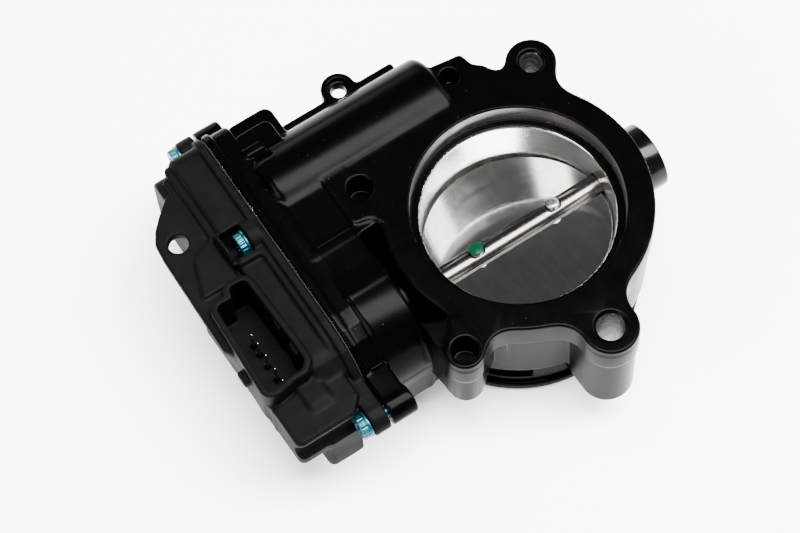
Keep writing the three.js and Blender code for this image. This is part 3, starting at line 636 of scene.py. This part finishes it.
def build_end_cap():
    """The closed cap pressed on the stub, its back face hollow round a centre boss."""
    return turned("stub_cap", arc_profile(
        [(0, 42.2), (9.2, 42.2), (9.2, 41.4), (10.5, 41.4),
         (10.5, 48.0), (7.2, 48.0), (6.6, 46.9), (0, 46.9)],
        [0, 0, 0, 0.25, 0.7, 0.3, 0.3, 0]), SHAFT_AXIS, 128)


# ---------------------------------------------------------------------------------------
# Materials
# ---------------------------------------------------------------------------------------
class Paint:
    """A node material: one principled shader, built up with a few calls."""

    def __init__(self, name, colour, rough, metallic=0.0, **sockets):
        self.material = bpy.data.materials.new(name)
        self.material.use_nodes = True
        self.tree = self.material.node_tree
        self.shader = self.tree.nodes["Principled BSDF"]
        self.shader.inputs["Base Color"].default_value = (*colour, 1)
        self.shader.inputs["Roughness"].default_value = rough
        self.shader.inputs["Metallic"].default_value = metallic
        for key, value in sockets.items():
            self.shader.inputs[key.replace("_", " ")].default_value = value
        self.place = self.tree.nodes.new("ShaderNodeTexCoord").outputs["Object"]
        self.height = None

    def node(self, kind, **inputs):
        made = self.tree.nodes.new("ShaderNode" + kind)
        for key, value in inputs.items():
            socket = made.inputs[key.replace("_", " ")]
            if isinstance(value, bpy.types.NodeSocket):
                self.tree.links.new(value, socket)
            else:
                socket.default_value = value
        return made

    def stretch(self, scale):
        return self.node("Mapping", Vector=self.place, Scale=scale).outputs["Vector"]

    def noise(self, scale, detail=3.0, where=None, roughness=0.55):
        made = self.node(
            "TexNoise", Vector=where or self.place, Scale=scale, Detail=detail, Roughness=roughness)
        return made.outputs["Fac"]

    def spread(self, value, low, high, out_low, out_high):
        made = self.node("MapRange", Value=value)
        made.inputs[1].default_value, made.inputs[2].default_value = low, high
        made.inputs[3].default_value, made.inputs[4].default_value = out_low, out_high
        return made.outputs["Result"]

    def rough(self, value):
        self.tree.links.new(value, self.shader.inputs["Roughness"])
        return self

    def colours(self, value, first, second):
        mix = self.tree.nodes.new("ShaderNodeMix")
        mix.data_type = "RGBA"
        self.tree.links.new(value, mix.inputs[0])
        mix.inputs[6].default_value = (*first, 1)
        mix.inputs[7].default_value = (*second, 1)
        self.tree.links.new(mix.outputs[2], self.shader.inputs["Base Color"])
        return self

    def bump(self, value, millimetres, strength=1.0):
        made = self.node("Bump", Height=value, Distance=millimetres * 0.001, Strength=strength)
        if self.height is not None:
            self.tree.links.new(self.height, made.inputs["Normal"])
        self.height = made.outputs["Normal"]
        self.tree.links.new(self.height, self.shader.inputs["Normal"])
        return self


def black_coating():
    """Satin black over a casting: fine orange peel and a few pale specks."""
    paint = Paint("black_coating", (0.00025, 0.00025, 0.00025), 0.21, Specular_IOR_Level=0.014)
    grain = paint.noise(2600, 2.0)
    broad = paint.noise(160, 3.0)
    specks = paint.spread(paint.noise(1500, 1.0), 0.80, 0.84, 0.0, 1.0)
    paint.colours(specks, (0.00025, 0.00025, 0.00025), (0.02, 0.02, 0.02))
    paint.rough(paint.spread(broad, 0.3, 0.7, 0.19, 0.25))
    return paint.bump(grain, 0.010, 0.45).bump(paint.noise(700, 2.0), 0.012, 0.2).material


def cover_plastic():
    paint = Paint("cover_plastic", (0.0011, 0.0011, 0.0012), 0.45, Specular_IOR_Level=0.016)
    clouds = paint.spread(paint.noise(260, 4.0), 0.3, 0.7, 0.0, 1.0)
    paint.colours(clouds, (0.0007, 0.0007, 0.00075), (0.0011, 0.0011, 0.0012))
    paint.rough(paint.spread(paint.noise(120, 3.0), 0.3, 0.7, 0.46, 0.58))
    return paint.bump(paint.noise(3200, 2.0), 0.018, 0.6).material


def machined(name, colour, rough, stretch, metallic=1.0, streak=0.012):
    """Bare turned or ground metal: fine tool lines along one direction."""
    paint = Paint(name, colour, rough, metallic)
    lines = paint.noise(1.0, 3.0, paint.stretch(stretch))
    paint.rough(paint.spread(lines, 0.3, 0.7, rough * 0.8, rough * 1.3))
    dull = paint.noise(140, 3.0)
    paint.colours(paint.spread(dull, 0.35, 0.7, 0.0, 1.0), colour, tuple(c * 0.86 for c in colour))
    return paint.bump(lines, streak, 0.6).material


def teal_plating():
    paint = Paint("teal_plating", (0.006, 0.07, 0.09), 0.36, 0.9)
    clouds = paint.spread(paint.noise(900, 3.0), 0.35, 0.7, 0, 1)
    paint.colours(clouds, (0.003, 0.035, 0.050), (0.010, 0.07, 0.085))
    return paint.bump(paint.noise(2500, 2.0), 0.01, 0.5).material


def gloss_black():
    paint = Paint("gloss_black", (0.0006, 0.0006, 0.0006), 0.15, Specular_IOR_Level=0.1)
    paint.rough(paint.spread(paint.noise(300, 3.0), 0.3, 0.7, 0.13, 0.22))
    return paint.bump(paint.noise(900, 2.0), 0.004, 0.5).material


def plain(name, colour, rough, metallic=0.0, grain=1500):
    """A simple moulded or cast finish with fine grain."""
    paint = Paint(name, colour, rough, metallic, Specular_IOR_Level=0.06)
    clouds = paint.spread(paint.noise(grain / 6, 3.0), 0.3, 0.7, 0, 1)
    paint.colours(clouds, colour, tuple(c * 0.8 for c in colour))
    paint.rough(paint.spread(paint.noise(grain / 4, 3.0), 0.3, 0.7, rough * 0.85, min(1.0, rough * 1.2)))
    return paint.bump(paint.noise(grain, 2.0), 0.01, 0.5).material


def paint_two(made, materials, choose):
    """Gives each face of a mesh the material whose number choose(x, y, z) returns (mm)."""
    for material in materials:
        made.data.materials.append(material)
    count = len(made.data.polygons)
    centres = np.zeros(count * 3, np.float32)
    made.data.polygons.foreach_get("center", centres)
    x, y, z = (centres.reshape(-1, 3).astype(float) * 1000 - np.array(BORE)).T
    made.data.polygons.foreach_set("material_index", choose(x, y, z).astype(np.int32))
    made.data.update()


def housing_face_kind(x, y, z):
    """0 coated, 1 bored wall of the duct, 2 bare bolt holes, 3 turned wall of the seal recess."""
    kind = np.zeros(len(x))
    kind[(np.hypot(x, y) < BORE_R + 0.25) & (z < -7.2)] = 1
    kind[(np.abs(np.hypot(x, y) - RECESS_R) < 0.3) & (z < -0.6) & (z > -6.7)] = 3
    for (hx, hy), r in ((UPPER_LUG, 3.3), (LOWER_LUG, 4.1)):
        kind[(np.hypot(x - hx, y - hy) < r + 0.2) & (z < -0.9)] = 2
    return kind


# ---------------------------------------------------------------------------------------
# Building the visual model
# ---------------------------------------------------------------------------------------
def dress(made, body, nodes, material=None):
    if material is not None:
        made.data.materials.clear()
        made.data.materials.append(material)
    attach(made, body)
    if nodes:
        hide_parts(*nodes)
    return made


COAT, PLASTIC, TEAL, GLOSS = black_coating(), cover_plastic(), teal_plating(), gloss_black()
BORED = machined("bored_wall", (0.62, 0.61, 0.58), 0.20, (60, 60, 1500))
COUNTERBORE = machined("turned_recess", (0.10, 0.092, 0.088), 0.45, (60, 60, 1500))
BARE = machined("bare_hole", (0.30, 0.30, 0.30), 0.28, (80, 80, 1800))
PLATE = machined("polished_plate", (0.42, 0.418, 0.415), 0.10, (900, 60, 60), streak=0.003)
GROUND = machined("ground_shaft", (0.075, 0.07, 0.066), 0.2, (1600, 60, 60), streak=0.006)
CONTACT = machined("contact_plating", (0.30, 0.24, 0.13), 0.22, (600, 600, 60))
STEEL = machined("plain_steel", (0.30, 0.30, 0.31), 0.30, (900, 900, 120))
GREEN = plain("green_paint", (0.0, 0.016, 0.0065), 0.35)

housing = build_housing()
paint_two(housing, [COAT, BORED, BARE, COUNTERBORE], housing_face_kind)
dress(housing, "housing", ["throttle_housing"])
dress(build_cover(), "housing", ["gearbox_cover"], PLASTIC)
for number, (y, z) in enumerate(SCREWS, 1):
    dress(build_cover_screw(f"lid_screw_{number}", y, z), "housing", [f"cover_screw_{number}"], TEAL)
for number, y in enumerate(PIN_Y, 1):
    dress(build_pin(f"contact_{number}", y), "housing", [f"connector_pin_{number}"], CONTACT)
dress(build_end_cap(), "housing", ["stub_end_cap"], GLOSS)
dress(build_shaft(), "valve", ["throttle_shaft"], GROUND)
dress(build_plate(), "valve", ["valve_plate"], PLATE)
for number, x in enumerate(PLATE_SCREWS, 1):
    screw = build_plate_screw(f"plate_screw_{number}", x)
    dress(screw, "valve", [f"valve_screw_{number}"], STEEL)
dress(build_paint_dot(), "valve", [], GREEN)

INNER = {
    "seal": plain("seal_rubber", (0.012, 0.012, 0.012), 0.7),
    "gear": plain("gear_nylon", (0.62, 0.58, 0.46), 0.45),
    "sleeve": plain("sleeve_plastic", (0.03, 0.03, 0.032), 0.45),
    "board": plain("board_green", (0.01, 0.12, 0.05), 0.4),
    "magnet": plain("magnet_sinter", (0.06, 0.06, 0.062), 0.5, 0.4),
    "pinion": machined("pinion_brass", (0.80, 0.60, 0.26), 0.25, (900, 90, 90)),
    "motor_core": plain("core_steel", (0.25, 0.22, 0.20), 0.4, 0.8),
}
SLOT_OF = {part["node"]: part["material_slot"] for part in frame["record"]["subparts"]}
for name, node in frame["nodes"].items():
    if not node.hide_render:
        node.data.materials.clear()
        node.data.materials.append(INNER.get(SLOT_OF[name], STEEL))


# ---------------------------------------------------------------------------------------
# Floor, light and camera
# ---------------------------------------------------------------------------------------
def build_floor():
    mesh = bpy.data.meshes.new("floor")
    reach = 3.0
    corners = [(-reach, -reach, 0), (reach, -reach, 0), (reach, reach, 0), (-reach, reach, 0)]
    mesh.from_pydata(corners, [], [(0, 1, 2, 3)])
    floor = bpy.data.objects.new("floor", mesh)
    bpy.context.scene.collection.objects.link(floor)
    paper = Paint("floor_paper", (0.93, 0.93, 0.93), 0.7, Specular_IOR_Level=0.2)
    floor.data.materials.append(paper.material)


def softbox(name, direction, distance, size_x, size_y, power):
    light = bpy.data.lights.new(name, "AREA")
    light.shape = "RECTANGLE"
    light.size, light.size_y = size_x, size_y
    light.energy = power
    made = bpy.data.objects.new(name, light)
    bpy.context.scene.collection.objects.link(made)
    away = Vector(direction).normalized()
    made.location = away * distance + Vector((0, 0, 0.03))
    made.rotation_euler = away.to_track_quat("Z", "Y").to_euler()
    return made


def build_world():
    """A dim room overhead and a bright band near the horizon."""
    world = bpy.data.worlds.new("room")
    bpy.context.scene.world = world
    world.use_nodes = True
    nodes, links = world.node_tree.nodes, world.node_tree.links
    place = nodes.new("ShaderNodeTexCoord")
    split = nodes.new("ShaderNodeSeparateXYZ")
    ramp = nodes.new("ShaderNodeValToRGB")
    links.new(place.outputs["Generated"], split.inputs[0])
    links.new(split.outputs["Z"], ramp.inputs[0])
    stops = [(0.0, 1.0), (0.28, 0.9), (0.5, 0.35), (0.7, 0.12), (1.0, 0.08)]
    ramp.color_ramp.elements[0].position = stops[0][0]
    ramp.color_ramp.elements[0].color = (stops[0][1],) * 3 + (1,)
    ramp.color_ramp.elements[1].position = stops[-1][0]
    ramp.color_ramp.elements[1].color = (stops[-1][1],) * 3 + (1,)
    for position, value in stops[1:-1]:
        ramp.color_ramp.elements.new(position).color = (value,) * 3 + (1,)
    links.new(ramp.outputs[0], nodes["Background"].inputs["Color"])
    nodes["Background"].inputs["Strength"].default_value = 1.0


def build_camera():
    azimuth, elevation, roll = (math.radians(a) for a in (-29.091, 65.062, -4.508))
    back = Vector((
        math.sin(azimuth) * math.cos(elevation),
        -math.cos(azimuth) * math.cos(elevation),
        math.sin(elevation),
    ))
    right = Vector((math.cos(azimuth), math.sin(azimuth), 0))
    up_axis = back.cross(right)
    right_r = right * math.cos(roll) + up_axis * math.sin(roll)
    up_r = up_axis * math.cos(roll) - right * math.sin(roll)
    turn = Matrix((right_r, up_r, back)).transposed()
    shift = Vector((34.533, 18.431, -770.38))
    place = turn @ (-shift) + BORE
    camera = bpy.data.cameras.new("camera")
    camera.lens, camera.sensor_width = 118.49, 36.0
    camera.clip_start, camera.clip_end = 0.01, 20.0
    made = bpy.data.objects.new("camera", camera)
    bpy.context.scene.collection.objects.link(made)
    made.matrix_world = Matrix.Translation(place * 0.001) @ turn.to_4x4()
    bpy.context.scene.camera = made


build_floor()
build_world()
softbox("key", (0.205, -0.13, 0.97), 1.5, 0.66, 1.5, 235)
softbox("left", (-0.9, -0.1, 0.55), 1.6, 1.0, 1.0, 60)
softbox("right", (0.95, -0.15, 0.6), 1.6, 1.0, 1.0, 50)
softbox("back", (-0.2, 1.0, 0.32), 1.8, 1.6, 0.5, 40)
build_camera()
